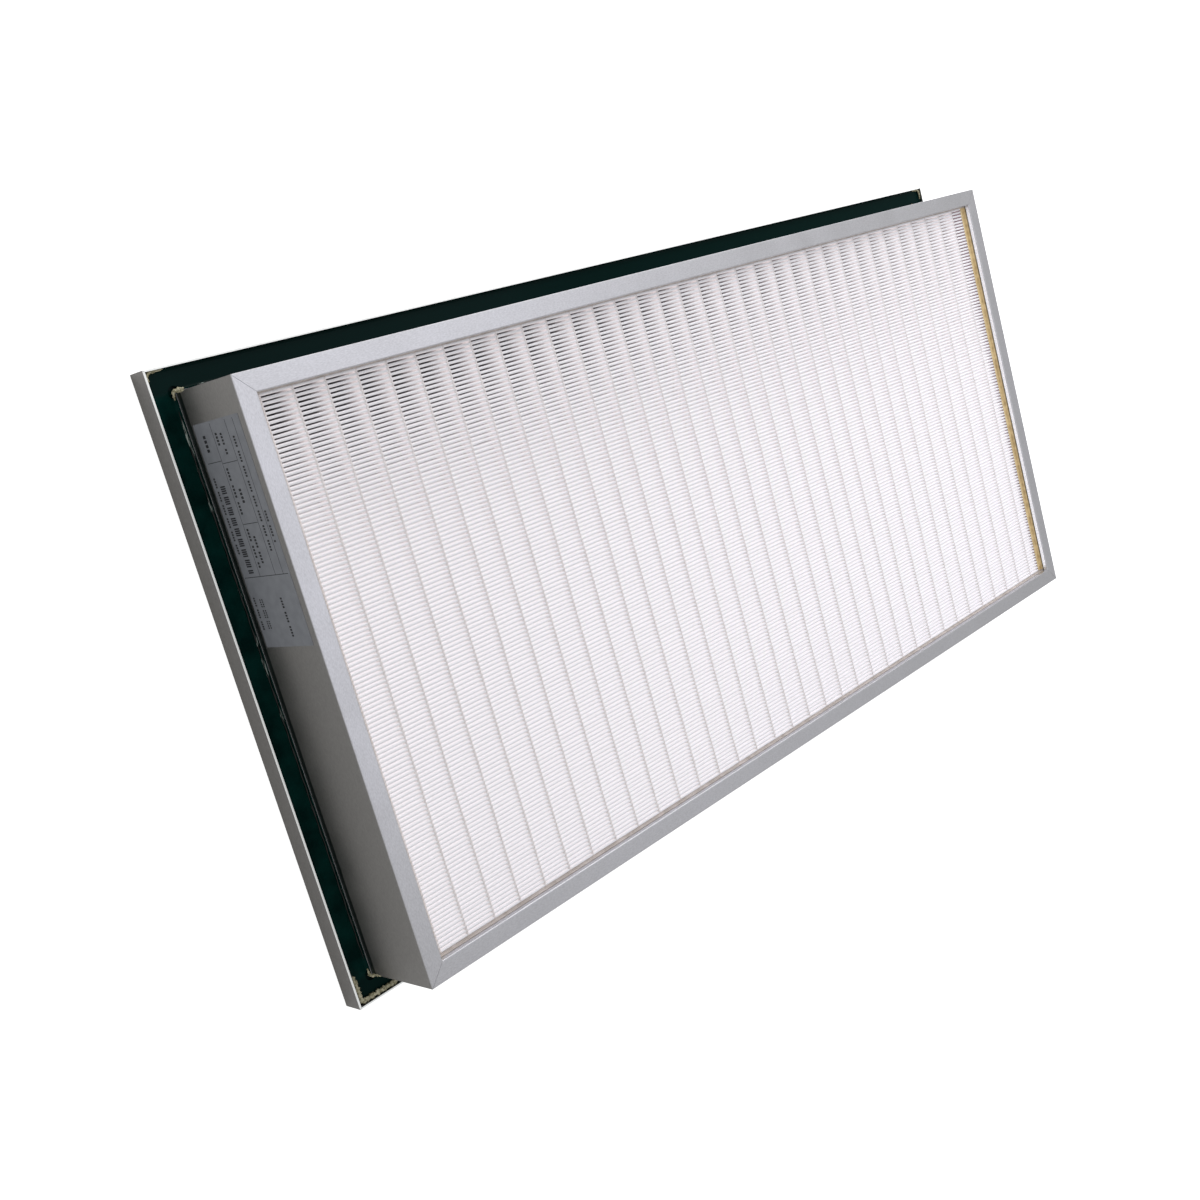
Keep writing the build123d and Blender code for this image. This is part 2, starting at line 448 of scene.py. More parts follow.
@dataclass(frozen=True)
class CastPolyurethane:
    """Casting compound: ochre at the ends of the pack, pale along its sides where it is a thin skin."""

    end_hex: tuple[str, str] = ("#dcc494", "#fbe6b8")
    side_hex: tuple[str, str] = ("#c4bcb6", "#dcd4d0")
    # Painted shade for upright faces below the level skin, in the folds
    fold_shade_hex: str = "#a08c92"
    fold_shade_top: float = 108.0
    side_start: float = 260.2
    upright_below: float = 0.5
    cloud_mm: float = 7.0
    contrast: Span = (0.35, 0.65)
    relief_mm: float = 0.08
    relief_strength: float = 0.4
    roughness: float = 0.5

    def material(self) -> bpy.types.Material:
        """Makes the compound: a cloud mixes two tones at the ends and two along the sides.

        Upright faces under the level skin are darker, where the compound lies in the shade of the folds.

        Returns:
            The material.
        """
        # Poured compound skins over level and slightly glossy, with clouds where it cooled unevenly
        material, tree = new_material("polyurethane_compound_cast")
        place = add_node(tree, "ShaderNodeTexCoord")
        cloud = noise(tree, place.outputs["Object"], self.cloud_mm, 4.0)
        share = remap(tree, cloud, self.contrast)
        parts = separate(tree, place.outputs["Object"])
        facing = separate(tree, place.outputs["Normal"])
        side = calculate(tree, "GREATER_THAN", calculate(tree, "ABSOLUTE", parts["Y"]), self.side_start * METRES)
        tone = blend(tree, side, blend(tree, share, *self.end_hex), blend(tree, share, *self.side_hex))
        upright = calculate(tree, "LESS_THAN", facing["Z"], self.upright_below)
        below = calculate(tree, "LESS_THAN", parts["Z"], self.fold_shade_top * METRES)
        # Painted shade on upright faces under the level skin
        skin = blend(tree, calculate(tree, "MULTIPLY", upright, below), tone, self.fold_shade_hex)
        close_material(tree, {"Roughness": self.roughness}, {
            "Base Color": skin, "Normal": relief(tree, cloud, self.relief_strength, self.relief_mm)})
        return material


@dataclass(frozen=True)
class SpeckledSolid:
    """A non-metal whose colour drifts between two tones, with fine relief."""

    name: str
    low_hex: str
    high_hex: str
    grain_mm: float
    relief_mm: float
    roughness: float
    ior: float = 1.5
    specular: float = 0.5
    contrast: Span = (0.35, 0.65)
    relief_strength: float = 0.4
    # Tone of painted shade past a distance |y| from the middle, and the width of its fade
    shaded_hex: str = ""
    shaded_from: float = 0.0
    shaded_fade: float = 6.0
    glow: float = 0.0
    glow_hex: str = "#fff3ea"
    glow_rise: Span = (0.0, 1.0)
    glow_fall: Span = (2.0, 3.0)

    def material(self) -> bpy.types.Material:
        """Makes the material: noise of the grain's size mixes the two tones and drives the relief.

        Where there is a tone of painted shade, it takes over past a distance |y| from the middle. The glow stands for
        light that thin sheets pass on to each other. It rises with the height over one span and falls over a second.

        Returns:
            The material.
        """
        material, tree = new_material(self.name)
        place = add_node(tree, "ShaderNodeTexCoord")
        parts = separate(tree, place.outputs["Object"])
        grain = noise(tree, place.outputs["Object"], self.grain_mm, 4.0)
        shade = blend(tree, remap(tree, grain, self.contrast), self.low_hex, self.high_hex)
        # Painted shade: a darker tone past a distance |y| from the middle
        if self.shaded_hex:
            aside = calculate(tree, "ABSOLUTE", parts["Y"])
            fade = (self.shaded_from * METRES, (self.shaded_from + self.shaded_fade) * METRES)
            shade = blend(tree, remap(tree, aside, fade), shade, self.shaded_hex)
        settings = {"Roughness": self.roughness, "IOR": self.ior, "Specular IOR Level": self.specular}
        feeds = {"Base Color": shade, "Normal": relief(tree, grain, self.relief_strength, self.relief_mm)}
        if self.glow > 0:
            rise, fall = ((low * METRES, high * METRES) for low, high in (self.glow_rise, self.glow_fall))
            risen = remap(tree, parts["Z"], rise, (0.0, self.glow))
            fallen = remap(tree, parts["Z"], fall, (self.glow, 0.0))
            material.cycles.emission_sampling = "NONE"
            settings["Emission Color"] = linear(self.glow_hex)
            feeds["Emission Strength"] = calculate(tree, "MINIMUM", risen, fallen)
        close_material(tree, settings, feeds)
        return material


@dataclass(frozen=True)
class CreptGel:
    """Gel that crept up the wall: painted nearly black as a painted dark reflection, with painted silvery glints in
    streaks.
    """

    reflected_dark_hex: str = "#04100e"
    glint_hex: str = "#bccac4"
    glint_mm: float = 1.6
    patch_mm: float = 34.0
    threshold: Span = (0.31, 0.4)
    roughness: float = 0.1
    ior: float = 1.45

    def material(self, run: Run) -> bpy.types.Material:
        """Makes the gel: the product of a fine and a coarse cloud, cut off sharply, gives the painted silvery glints.

        Args:
            run: Direction along which the streaks are drawn out.

        Returns:
            The material.
        """
        # Cured silicone clings to the wall in a thin roll, painted near black as a painted dark reflection, with
        # painted glints in streaks
        material, tree = new_material(f"silicone_gel_crept_{run.name.lower()}")
        place = add_node(tree, "ShaderNodeTexCoord")
        drawn = add_node(tree, "ShaderNodeMapping", {"Scale": tuple(v ** 2 for v in run.value)},
                         {"Vector": place.outputs["Object"]})
        fine = noise(tree, drawn.outputs[0], self.glint_mm, 3.0)
        coarse = noise(tree, place.outputs["Object"], self.patch_mm, 1.0)
        # Painted glints: sharp silvery streaks along the roll
        glint_streaks = remap(tree, calculate(tree, "MULTIPLY", fine, coarse), self.threshold)
        close_material(tree, {"Roughness": self.roughness, "IOR": self.ior},
                       {"Base Color": blend(tree, glint_streaks, self.reflected_dark_hex, self.glint_hex)})
        return material


# Glass-fibre filter paper, wet laid: matt, near white, with a soft fibre cloud
PAPER = SpeckledSolid("glass_fibre_paper_wet_laid", "#f0f0f6", "#f8f9fd", 0.7, 0.04, 0.9, specular=0.2, glow=0.22,
                      glow_rise=(82.0, 104.0), glow_fall=(105.5, 109.0))
# Hot-melt polyamide glue, extruded as a thread: white and slightly waxy
GLUE = SpeckledSolid("hot_melt_glue_extruded", "#e6e1e3", "#f0ebed", 6.0, 0.03, 0.45, glow=0.13,
                     glow_rise=(94.0, 104.0), glow_fall=(107.0, 109.5))
# Silicone sealing gel, poured: dark green, level and glossy, painted nearly black along the long walls as painted
# shade
GEL = SpeckledSolid("silicone_gel_poured", "#032220", "#083430", 22.0, 0.01, 0.16, 1.4, specular=0.05,
                    shaded_hex="#05201e", shaded_from=277.0)
# Cured corner sealant, smeared by hand: cream to olive, satin
SEALANT = SpeckledSolid("polyurethane_sealant_smeared", "#8d8866", "#dcd6ba", 2.2, 0.15, 0.45)
# Coated foil label stock, bare: silver grey, satin
LABEL = SpeckledSolid("foil_label_stock", "#878a91", "#90939a", 9.0, 0.005, 0.5)
# Thin printed rules on the label: dark grey ink
INK = SpeckledSolid("label_ink_printed", "#404246", "#4a4c50", 3.0, 0.002, 0.6)
# Heavier print of the plain dashes
PRINT = SpeckledSolid("label_dashes_printed", "#121418", "#24262a", 2.0, 0.002, 0.6)


# Sub-assemblies


@dataclass
class FrameRuns:
    """The four mitred lengths of the frame and the keys inside their corners."""

    metal: AnodisedAluminium = AnodisedAluminium()

    def build(self) -> None:
        """Dresses each run with die lines along its own length."""
        along_x = self.metal.material(Run.ALONG_X)
        along_y = self.metal.material(Run.ALONG_Y)
        for side in ("right", "left"):
            dress(f"frame_{side}", along_y)
        for side in ("top", "bottom"):
            dress(f"frame_{side}", along_x)
        for corner in CORNERS:
            dress(f"corner_key_{corner}", along_x)


@dataclass
class PleatPack:
    """The folded filter paper between the potting walls, in two lengths that meet under a glue wall."""

    length: float = 1122.0
    pitch: float = 4.12
    folds: int = 126
    front: float = 108.5
    rear: float = 11.0
    fold_radius: float = 1.0
    thickness: float = 0.4
    bead_pitch: float = 33.26
    bead_inset: float = 1.6
    beads: int = 34
    wander: float = 0.1
    rise_share: float = 0.5
    end_inset: float = 0.4
    seed: int = 7

    @property
    def bead_places(self) -> np.ndarray:
        """Middle of each glue bead along X.

        Returns:
            Array of X.
        """
        return -self.length / 2 + self.bead_inset + np.arange(self.beads) * self.bead_pitch

    def fold_line(self, offset: float) -> tuple[np.ndarray, np.ndarray]:
        """Path of one face of the paper in Y and Z.

        Each fold is a half circle at the front and one at the rear, joined by straight walls. The circle's radius
        grows by the offset at the front and shrinks by it at the rear, so two paths keep a constant thickness.

        Args:
            offset: Distance of the face from the middle of the paper, positive toward the front.

        Returns:
            Y and Z of the path's points.
        """
        angles = np.radians(ARC_DEGREES)
        tip = self.fold_radius + offset
        valley = self.fold_radius - offset
        crest_y = tip * np.sin(angles)
        crest_z = self.front - self.thickness / 2 - self.fold_radius + tip * np.cos(angles)
        foot_y = self.pitch / 2 + valley * np.sin(angles)
        foot_z = self.rear + self.thickness / 2 + self.fold_radius - valley * np.cos(angles)
        period_y = np.concatenate([crest_y, foot_y])
        period_z = np.concatenate([crest_z, foot_z])
        starts = (np.arange(self.folds) - self.folds / 2) * self.pitch
        path_y = (starts[:, None] + period_y[None, :]).ravel()
        path_z = np.tile(period_z, self.folds)
        last = self.folds / 2 * self.pitch
        return np.append(path_y, last + crest_y), np.append(path_z, crest_z)

    def sheet(self, name: str, stations: np.ndarray) -> bpy.types.Object:
        """Closed strip of folded paper over a range of X.

        The front path and the reversed rear path make one ring, and the ring is carried along X. Between beads
        each wall leans and rises by a sine of the distance to the bead on its left, times a fixed random number for
        the fold and the cell, and it stands straight where the glue holds it.

        Args:
            name: Name of the piece.
            stations: X of each section.

        Returns:
            The piece.
        """
        front_y, front_z = self.fold_line(self.thickness / 2)
        rear_y, rear_z = self.fold_line(-self.thickness / 2)
        ring_y = np.concatenate([front_y, rear_y[::-1]])
        ring_z = np.concatenate([front_z, rear_z[::-1]])
        draw = np.random.default_rng(self.seed)
        cells = self.beads + 2
        lean = draw.normal(0, 1, (self.folds + 2, cells))
        rise = draw.normal(0, 1, (self.folds + 2, cells))
        fold = np.clip(np.round(ring_y / self.pitch + self.folds / 2).astype(int), 0, self.folds + 1)
        cell_place = (stations - self.bead_places[0]) / self.bead_pitch
        cell = np.clip(np.floor(cell_place).astype(int) + 1, 0, cells - 1)
        swing = np.abs(np.sin(np.pi * (cell_place - np.floor(cell_place))))
        y = ring_y[None, :] + self.wander * swing[:, None] * lean[fold][:, cell].T
        height = np.clip((ring_z - self.rear) / (self.front - self.rear), 0, 1)
        z = ring_z[None, :] + self.rise_share * self.wander * swing[:, None] * rise[fold][:, cell].T * height[None, :]
        z = np.clip(z, self.rear, self.front)
        x = np.repeat(stations[:, None], len(ring_y), axis=1)
        points = np.stack([x, y, z], axis=-1)
        # The grid leaves three openings: the seam between the ring's last and first points, and the two ends
        count = len(ring_y)
        quads = grid_faces(len(stations), count)
        turn = np.arange(len(stations) - 1) * count
        closing = np.stack([turn + count - 1, turn + 2 * count - 1, turn + count, turn], axis=-1)
        half = len(front_y)
        strip = np.stack([np.arange(half - 1), np.arange(1, half), count - 2 - np.arange(half - 1),
                          count - 1 - np.arange(half - 1)], axis=-1)
        far = (len(stations) - 1) * count
        faces = np.concatenate([quads, closing, strip, (strip + far)[:, ::-1]])
        return build_mesh(name, points, faces)

    def build(self) -> None:
        """Makes the two lengths of paper, which stand for the CAD pack."""
        paper = PAPER.material()
        places = self.bead_places
        middle = self.beads // 2
        mids = places + self.bead_pitch / 2
        left_end, right_end = -self.length / 2, self.length / 2
        inset, joint = self.end_inset, places[middle]
        left = np.sort(np.concatenate([[left_end, left_end + inset, joint - inset], places[:middle + 1],
                                       mids[:middle]]))
        right = np.sort(np.concatenate([[joint + inset, right_end - inset, right_end], places[middle:],
                                        mids[middle:-1]]))
        first = self.sheet("pleated_media_left", left)
        second = self.sheet("pleated_media_right", right)
        fit_out(first, paper, ("pleat_pack",))
        fit_out(second, paper)


@dataclass
class GlueBeads:
    """Threads of glue across the folds, each with the wall of glue that fills the valleys under it."""

    pack: PleatPack
    half_width: float = 1.1
    crown: float = 0.45
    sag: float = 0.9
    steps_per_fold: int = 4
    wander: float = 0.3
    drift_waves: tuple[Span, Span] = ((0.6, 61.0), (0.4, 23.0))
    swell_waves: tuple[Span, Span] = ((0.10, 9.0), (0.08, 3.1))
    seed: int = 11

    def thread(self, index: int, place: float, draw: np.random.Generator) -> bpy.types.Object:
        """One wall of glue from the rear folds to the front folds.

        The section is a tall plate with a rounded crown at both ends, and its crown follows the folds: it is
        highest on a tip and lower by the sag in a valley, as a cosine of the place in the fold. Its sides and its
        middle line wander by smooth sums of sines with random phases.

        Args:
            index: Number of the bead, from one.
            place: X of its middle line.
            draw: Source of the random phases.

        Returns:
            The piece.
        """
        pack = self.pack
        span = pack.folds * pack.pitch + 2 * pack.fold_radius
        steps = pack.folds * self.steps_per_fold + 1
        y = np.linspace(-span / 2, span / 2, steps)
        fold = np.cos(2 * np.pi * y / pack.pitch)
        phases = draw.uniform(0, 2 * np.pi, 4)
        waves = [share * np.sin(y / reach + phase)
                 for (share, reach), phase in zip(self.drift_waves + self.swell_waves, phases)]
        drift = self.wander * (waves[0] + waves[1])
        swell = 1 + waves[2] + waves[3]
        angles = np.radians(ARC_DEGREES)
        side = np.sin(angles)[None, :] * (self.half_width * swell)[:, None]
        dome = np.cos(angles)[None, :] * self.crown
        level = -self.sag * (1 - fold)[:, None] / 2
        top_z = pack.front + level + dome
        low_z = pack.rear - level - dome
        x = place + drift[:, None] + np.concatenate([side, side[:, ::-1]], axis=1)
        z = np.concatenate([top_z, low_z[:, ::-1]], axis=1)
        points = np.stack([x, np.repeat(y[:, None], x.shape[1], axis=1), z], axis=-1)
        ring = x.shape[1]
        order = points.transpose(1, 0, 2)
        quads = grid_faces(ring, steps, wrap_rows=True)
        near = np.arange(ring) * steps
        far = near + steps - 1
        return build_mesh(f"glue_bead_{index:02d}", order, quads, [near[::-1], far])

    def build(self) -> None:
        """Makes the beads, each of which stands for its CAD node."""
        glue = GLUE.material()
        draw = np.random.default_rng(self.seed)
        for index, place in enumerate(self.pack.bead_places, start=1):
            piece = self.thread(index, float(place), draw)
            fit_out(piece, glue, (f"separator_bead_{index:02d}",))


@dataclass(frozen=True)
class DashRow:
    """A row of plain dashes, from its far end to its near end."""

    start: float
    end: float
    level: float
    height: float
    step: float


@dataclass
class SideLabel:
    """A bare foil label on the left wall, with thin plain rules and rows of plain dashes."""

    wall: float = -585.5
    thickness: float = 0.2
    ink_lift: float = 0.02
    rule_width: float = 0.7
    dash_share: float = 0.68
    group: int = 5
    long_rules: tuple[Place, ...] = ((111.3, 248.0, 100.3), (111.3, 248.0, 87.2), (111.3, 248.0, 61.0))
    cross_rules: tuple[Place, ...] = (
        (111.3, 34.0, 108.0), (212.5, 61.7, 86.5), (158.3, 61.7, 86.5), (215.0, 36.5, 60.3))
    rows: tuple[DashRow, ...] = (
        DashRow(167.0, 138.0, 104.0, 2.88, 2.6), DashRow(233.0, 128.0, 93.5, 3.12, 2.6),
        DashRow(238.0, 218.0, 74.0, 3.12, 2.8), DashRow(189.0, 172.0, 75.0, 3.84, 3.4),
        DashRow(147.0, 120.0, 73.0, 3.36, 2.8), DashRow(239.0, 223.0, 66.0, 3.36, 3.0),
        DashRow(208.0, 162.0, 65.5, 3.12, 3.0), DashRow(154.0, 117.0, 65.5, 3.12, 3.0),
        DashRow(194.0, 114.0, 48.0, 8.4, 1.9), DashRow(239.0, 221.0, 45.0, 4.32, 4.0),
        DashRow(202.0, 129.0, 38.2, 2.64, 2.4), DashRow(91.0, 53.0, 82.8, 3.12, 2.6),
        DashRow(91.0, 60.0, 50.5, 1.92, 2.0), DashRow(91.0, 60.0, 47.0, 1.92, 2.0),
        DashRow(93.0, 61.0, 37.5, 2.64, 2.2))

    def corners(self, box: Box) -> np.ndarray:
        """Eight corners of a thin plate of ink, one point in the stock and one over its face in turn about the box.

        Args:
            box: Lowest and highest Y, then lowest and highest Z.

        Returns:
            Array of eight points.
        """
        y = np.array([box[0], box[1], box[1], box[0]])
        z = np.array([box[2], box[2], box[3], box[3]])
        x = self.wall - np.array([self.thickness / 2, self.thickness + self.ink_lift])
        points = np.stack([np.repeat(x[:, None], 4, axis=1), np.tile(y, (2, 1)), np.tile(z, (2, 1))], axis=-1)
        return points.transpose(1, 0, 2).reshape(-1, 3)

    def printed(self, name: str, boxes: list[Box], ink: bpy.types.Material) -> None:
        """Makes one piece of thin closed plates on the label.

        Each plate is a ring of four pairs of points about its box, closed on the wall's side and on the outside.

        Args:
            name: Name of the piece.
            boxes: Box of each plate.
            ink: Its material.
        """
        points = np.stack([self.corners(box) for box in boxes])
        firsts = points.shape[1] * np.arange(len(boxes))
        quads = (grid_faces(4, 2, wrap_rows=True)[None] + firsts[:, None, None]).reshape(-1, 4)
        caps = [np.array(ring) + first for first in firsts for ring in ((0, 2, 4, 6), (7, 5, 3, 1))]
        fit_out(build_mesh(name, points, quads, caps, smooth=False), ink)

    def dashes(self, row: DashRow) -> list[Box]:
        """Boxes of a row's dashes.

        A dash is as long as a share of the step, and the last step of each group is left out.

        Args:
            row: The row.

        Returns:
            The boxes.
        """
        steps = np.arange(int((row.start - row.end) / row.step))
        places = row.start - steps[steps % self.group != self.group - 1] * row.step
        half = row.height / 2
        return [(place - self.dash_share * row.step, place, row.level - half, row.level + half) for place in places]

    def build(self) -> None:
        """Makes the label, its rules and its plain dashes."""
        dress("side_label", LABEL.material())
        ink = INK.material()
        half = self.rule_width / 2
        for number, (low_y, high_y, level) in enumerate(self.long_rules, start=1):
            self.printed(f"label_rule_{number}", [(low_y, high_y, level - half, level + half)], ink)
        for number, (place, low_z, high_z) in enumerate(self.cross_rules, start=1):
            self.printed(f"label_bar_{number}", [(place - half, place + half, low_z, high_z)], ink)
        heavy = PRINT.material()
        for number, row in enumerate(self.rows, start=1):
            self.printed(f"label_dashes_{number}", self.dashes(row), heavy)


@dataclass(frozen=True)
class BeadForm:
    """A bead's path, smallest and largest radius, height over width, and the wave length of its lumps."""

    path: tuple[Place, ...]
    radius: Span
    squash: float
    length: float

    def mirrored(self, signs: tuple[int, int]) -> "BeadForm":
        """The same bead in another corner.

        Args:
            signs: Signs of the corner's X and Y.

        Returns:
            The mirrored form.
        """
        return replace(self, path=tuple((signs[0] * x, signs[1] * y, z) for x, y, z in self.path))


@dataclass(frozen=True)
class LegSmear:
    """The smear inside one corner of the outer legs, where X and Y are positive."""

    reach: Span = (18.0, 14.0)
    inset: float = 0.0
    radius: Span = (0.8, 2.1)
    legs: Span = (607.0, 302.6)
    squash: float = 0.8
    length: float = 4.0

    def form(self) -> BeadForm:
        """Form of the smear, whose path goes along the long leg, round the corner and along the short leg.

        Returns:
            The form.
        """
        x, y = self.legs
        path = ((x - self.reach[0], y - self.inset, 21.6), (x - 3.5, y - 0.3 - self.inset, 21.4),
                (x - 0.6 - self.inset, y - 3.6, 21.6), (x - 0.1 - self.inset, y - self.reach[1], 20.8))
        return BeadForm(path, self.radius, self.squash, self.length)


@dataclass
class Smears:
    """Beads of sealant drawn by hand round each corner of the channel, and the gel's rolls along the walls."""

    sides: int = 10
    step: float = 0.8
    least_steps: int = 12
    turn_share: float = 0.02
    turn_least: float = 1.2
    long_bead: float = 40.0
    tip_growth: float = 2.4
    tip_margin: float = 0.004
    lump_waves: tuple[Span, ...] = ((1.0, 2 * np.pi), (1.0, 3.9), (0.7, 11.3))
    swell_waves: tuple[Place, ...] = ((0.16, 2.0, 3.1), (0.12, 3.0, -4.7))
    seed: int = 23
    wide_corner: str = "bottom_left"
    wide_leg: LegSmear = LegSmear((46.0, 30.0), 2.2, (1.5, 3.2))
    plain_leg: LegSmear = LegSmear()
    foot: BeadForm = BeadForm(((576.0, 282.9, 21.5), (584.0, 283.1, 22.5), (587.6, 281.5, 21.5),
                               (587.5, 274.0, 20.5)), (0.9, 2.3), 0.9, 3.0)
    rise: BeadForm = BeadForm(((585.4, 280.9, 22.0), (585.3, 280.8, 30.0), (585.2, 280.7, 38.5)),
                              (0.7, 1.5), 1.0, 3.0)
    roll_level: float = 20.3
    roll_end: Span = (570.0, 268.0)
    roll_side: Span = (587.5, 283.0)
    roll_radius: Span = (1.05, 1.35)
    roll_squash: float = 0.9
    roll_length: float = 14.0

    def centre_line(self, path: tuple[Place, ...]) -> tuple[np.ndarray, np.ndarray]:
        """Points set out evenly along a path, with its corners rounded by a moving mean.

        Args:
            path: Corners of the path.

        Returns:
            Distance of each point along the path, and the points.
        """
        knots = np.array(path, float)
        far = np.concatenate([[0], np.cumsum(np.linalg.norm(np.diff(knots, axis=0), axis=1))])
        along = np.linspace(0, far[-1], max(int(far[-1] / self.step), self.least_steps))
        spread = max(far[-1] * self.turn_share, self.turn_least)
        offsets = np.linspace(-spread, spread, 5)
        middle = [np.mean([np.interp(np.clip(along + d, 0, far[-1]), far, knots[:, k]) for d in offsets], axis=0)
                  for k in range(3)]
        return along, np.stack(middle, axis=-1)

    def bead(self, name: str, form: BeadForm, draw: np.random.Generator) -> bpy.types.Object:
        """Lumpy bead along a path of straight stretches.

        Each point of the centre line carries a ring. The ring's radius runs between two values with a sum of three
        sines of the distance, each with its own random phase, and tapers to a blunt tip at both ends as the root
        of a sine. Each ring's own points swell by sines of the angle and the distance.

        Args:
            name: Name of the piece.
            form: Its form.
            draw: Source of the random phases.

        Returns:
            The piece.
        """
        along, middle = self.centre_line(form.path)
        heading = np.gradient(middle, axis=0)
        heading /= np.linalg.norm(heading, axis=1)[:, None] + TINY
        across = np.cross(heading, np.array([0.0, 0.0, 1.0]))
        across /= np.linalg.norm(across, axis=1)[:, None] + TINY
        over = np.cross(across, heading)
        # Five phases are used, and the sixth keeps the order of the draws
        phases = draw.uniform(0, 2 * np.pi, 6)
        lump = sum(share * np.sin(along * pace / form.length + phase)
                   for (share, pace), phase in zip(self.lump_waves, phases))
        lump = lump / sum(share for share, _ in self.lump_waves)
        size = form.radius[0] + (form.radius[1] - form.radius[0]) * (lump + 1) / 2
        taper = np.sqrt(np.sin(np.pi * np.clip(along / along[-1], self.tip_margin, 1 - self.tip_margin)))
        if along[-1] > self.long_bead:
            taper = np.minimum(1.0, taper * self.tip_growth)
        angles = np.arange(self.sides) * 2 * np.pi / self.sides
        swell = 1 + sum(share * np.sin(turns * angles[None, :] + along[:, None] * pace / form.length + phase)
                        for (share, turns, pace), phase in zip(self.swell_waves, phases[3:]))
        reach = (size * taper)[:, None] * swell
        points = (middle[:, None, :] + across[:, None, :] * (reach * np.cos(angles))[:, :, None]
                  + over[:, None, :] * (reach * form.squash * np.sin(angles))[:, :, None])
        count = len(along)
        quads = grid_faces(self.sides, count, wrap_rows=True)
        near = np.arange(self.sides) * count
        return build_mesh(name, points.transpose(1, 0, 2), quads, [near, (near + count - 1)[::-1]])

    def corner(self, name: str, signs: tuple[int, int], material: bpy.types.Material,
               draw: np.random.Generator) -> None:
        """Makes the three smears of a corner: inside the legs, round the wall's foot and up the wall's edge.

        Args:
            name: Name of the corner.
            signs: Signs of its X and Y.
            material: The sealant.
            draw: Source of the random phases.
        """
        leg = self.wide_leg if name == self.wide_corner else self.plain_leg
        for kind, form, nodes in (("leg", leg.form(), (f"leg_sealant_{name}",)),
                                  ("wall", self.foot, (f"wall_sealant_{name}",)),
                                  ("corner", self.rise, ())):
            smear = self.bead(f"{kind}_smear_{name}", form.mirrored(signs), draw)
            fit_out(smear, material, nodes)

    def build(self) -> None:
        """Makes the beads of all corners and the rolls of gel along the four walls."""
        draw = np.random.default_rng(self.seed)
        sealant = SEALANT.material()
        for name, signs in CORNERS.items():
            self.corner(name, signs, sealant, draw)
        # The rolls' gel is painted near black as a painted dark reflection, with painted glints
        gel_reflection = {run: CreptGel().material(run) for run in Run}
        end_x, end_y = self.roll_end
        side_x, side_y = self.roll_side
        rolls = (("left", (-side_x, -end_y), (-side_x, end_y), Run.ALONG_Y),
                 ("right", (side_x, -end_y), (side_x, end_y), Run.ALONG_Y),
                 ("top", (-end_x, side_y), (end_x, side_y), Run.ALONG_X),
                 ("bottom", (-end_x, -side_y), (end_x, -side_y), Run.ALONG_X))
        for name, start, end, run in rolls:
            path = ((*start, self.roll_level), (*end, self.roll_level))
            form = BeadForm(path, self.roll_radius, self.roll_squash, self.roll_length)
            fit_out(self.bead(f"gel_roll_{name}", form, draw), gel_reflection[run])


@dataclass
class Dressing:
    """Poured and cast pieces that keep their CAD form."""

    def build(self) -> None:
        """Dresses the gel and the potting."""
        dress("gel", GEL.material())
        dress("potting", CastPolyurethane().material())


@dataclass(frozen=True)
class SoftLamp:
    """A rectangular soft lamp, placed and sized in metres, with its power in watts."""

    name: str
    place: Place
    aim: Place
    size: Span
    power: float
    colour_hex: str

    def build(self) -> None:
        """Adds the lamp, which faces its aim."""
        data = bpy.data.lights.new(self.name, "AREA")
        data.shape = "RECTANGLE"
        data.size, data.size_y = self.size
        data.energy = self.power
        data.color = linear(self.colour_hex)[:3]
        lamp = bpy.data.objects.new(self.name, data)
        back = np.array(self.place) - np.array(self.aim)
        back = back / np.linalg.norm(back)
        side = np.cross([0.0, 1.0, 0.0], back)
        side = side / np.linalg.norm(side)
        matrix = np.eye(4)
        matrix[:3, :3] = np.array([side, np.cross(back, side), back]).T
        matrix[:3, 3] = self.place
        lamp.matrix_world = Matrix(matrix.tolist())
        bpy.context.scene.collection.objects.link(lamp)


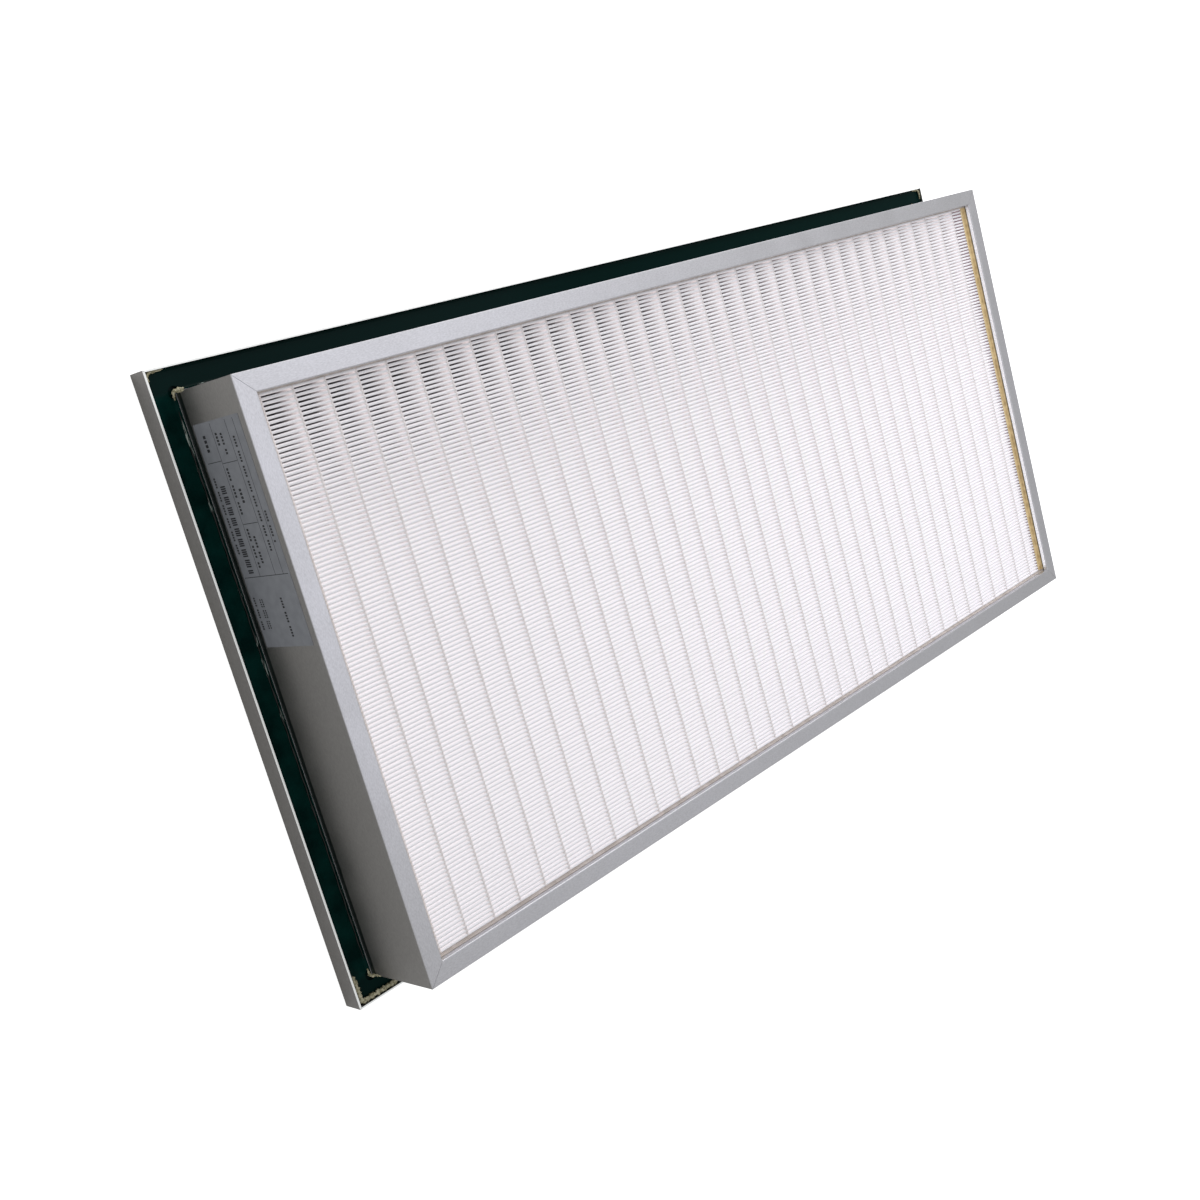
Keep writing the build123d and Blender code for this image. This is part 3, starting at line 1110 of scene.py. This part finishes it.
@dataclass
class Studio:
    """Pale floor, soft light and the camera of the picture."""

    picture: float = 1200.0
    focal_px: float = 1409.06
    centre_px: Span = (654.25, 604.67)
    sensor: float = 36.0
    view_reach: float = 100.0
    place: Place = (-1184.16, 242.51, 1170.26)
    right: Place = (0.666589, -0.261381, 0.698097)
    down: Place = (-0.32607, -0.944401, -0.042249)
    ahead: Place = (0.670326, -0.199466, -0.714756)
    floor_half: float = 12000.0
    floor_gap: float = 0.4
    floor_hex: str = "#f4f4f4"
    floor_glow: float = 0.8
    sky_hex: str = "#f6f6f4"
    sky_strength: float = 0.5
    lamps: tuple[SoftLamp, ...] = (
        SoftLamp("key", (0.7, 0.0, 1.9), (0.7, 0.0, 0.0), (1.6, 1.6), 7.2, "#f2f3ff"),
        SoftLamp("side", (1.0, 1.45, 1.15), (0.75, 0.0, 0.0), (1.9, 1.7), 21.5, "#fffdfd"))

    def camera(self) -> None:
        """Places the camera from the three directions of its picture."""
        data = bpy.data.cameras.new("camera")
        data.sensor_width = self.sensor
        data.lens = self.focal_px / self.picture * self.sensor
        data.shift_x = (self.picture / 2 - self.centre_px[0]) / self.picture
        data.shift_y = (self.centre_px[1] - self.picture / 2) / self.picture
        data.clip_end = self.view_reach
        eye = bpy.data.objects.new("camera", data)
        matrix = np.eye(4)
        matrix[:3, :3] = np.array([self.right, -np.array(self.down), -np.array(self.ahead)]).T
        matrix[:3, 3] = np.array(self.place) * METRES
        eye.matrix_world = Matrix(matrix.tolist())
        bpy.context.scene.collection.objects.link(eye)
        bpy.context.scene.camera = eye

    def floor(self) -> None:
        """Lays the floor just under the panel, where camera rays see it lit up to white."""
        half, low = self.floor_half, -self.floor_gap
        points = np.array([[-half, -half, low], [half, -half, low], [half, half, low], [-half, half, low]])
        piece = build_mesh("floor", points, np.array([[0, 1, 2, 3]]), smooth=False)
        # Matt card, pale grey
        material, tree = new_material("floor_card_matt")
        rays = add_node(tree, "ShaderNodeLightPath")
        card = {"Base Color": linear(self.floor_hex), "Roughness": 0.9, "Specular IOR Level": 0.2}
        plain = add_node(tree, "ShaderNodeBsdfPrincipled", card)
        glow = {"Emission Color": WHITE, "Emission Strength": self.floor_glow}
        bright = add_node(tree, "ShaderNodeBsdfPrincipled", card | glow)
        seen = add_node(tree, "ShaderNodeMixShader", links={0: rays.outputs["Is Camera Ray"], 1: plain.outputs[0],
                                                            2: bright.outputs[0]})
        add_node(tree, "ShaderNodeOutputMaterial", links={"Surface": seen.outputs[0]})
        piece.data.materials.append(material)

    def sky(self) -> None:
        """Sets a soft even sky that camera rays see as white."""
        world = bpy.data.worlds.new("world")
        world.use_nodes = True
        tree = world.node_tree
        tree.nodes.clear()
        rays = add_node(tree, "ShaderNodeLightPath")
        soft = {"Color": linear(self.sky_hex), "Strength": self.sky_strength}
        shade = add_node(tree, "ShaderNodeBackground", soft)
        white = add_node(tree, "ShaderNodeBackground", {"Color": WHITE, "Strength": 1.0})
        seen = add_node(tree, "ShaderNodeMixShader", links={0: rays.outputs["Is Camera Ray"], 1: shade.outputs[0],
                                                            2: white.outputs[0]})
        add_node(tree, "ShaderNodeOutputWorld", links={"Surface": seen.outputs[0]})
        bpy.context.scene.world = world

    def build(self) -> None:
        """Sets the sky, the lamps, the floor and the camera."""
        self.sky()
        for lamp in self.lamps:
            lamp.build()
        self.floor()
        self.camera()
        bpy.context.scene.view_settings.view_transform = "Standard"


def main() -> None:
    """Builds the panel in the order in which it would be put together, then the studio."""
    logging.basicConfig(level=logging.INFO, format="%(name)s: %(message)s")
    pack = PleatPack()
    for part in (FrameRuns(), Dressing(), pack, GlueBeads(pack), Smears(), SideLabel(), Studio()):
        part.build()
        LOG.info("%s is built", type(part).__name__)


if __name__ == "__main__":
    main()
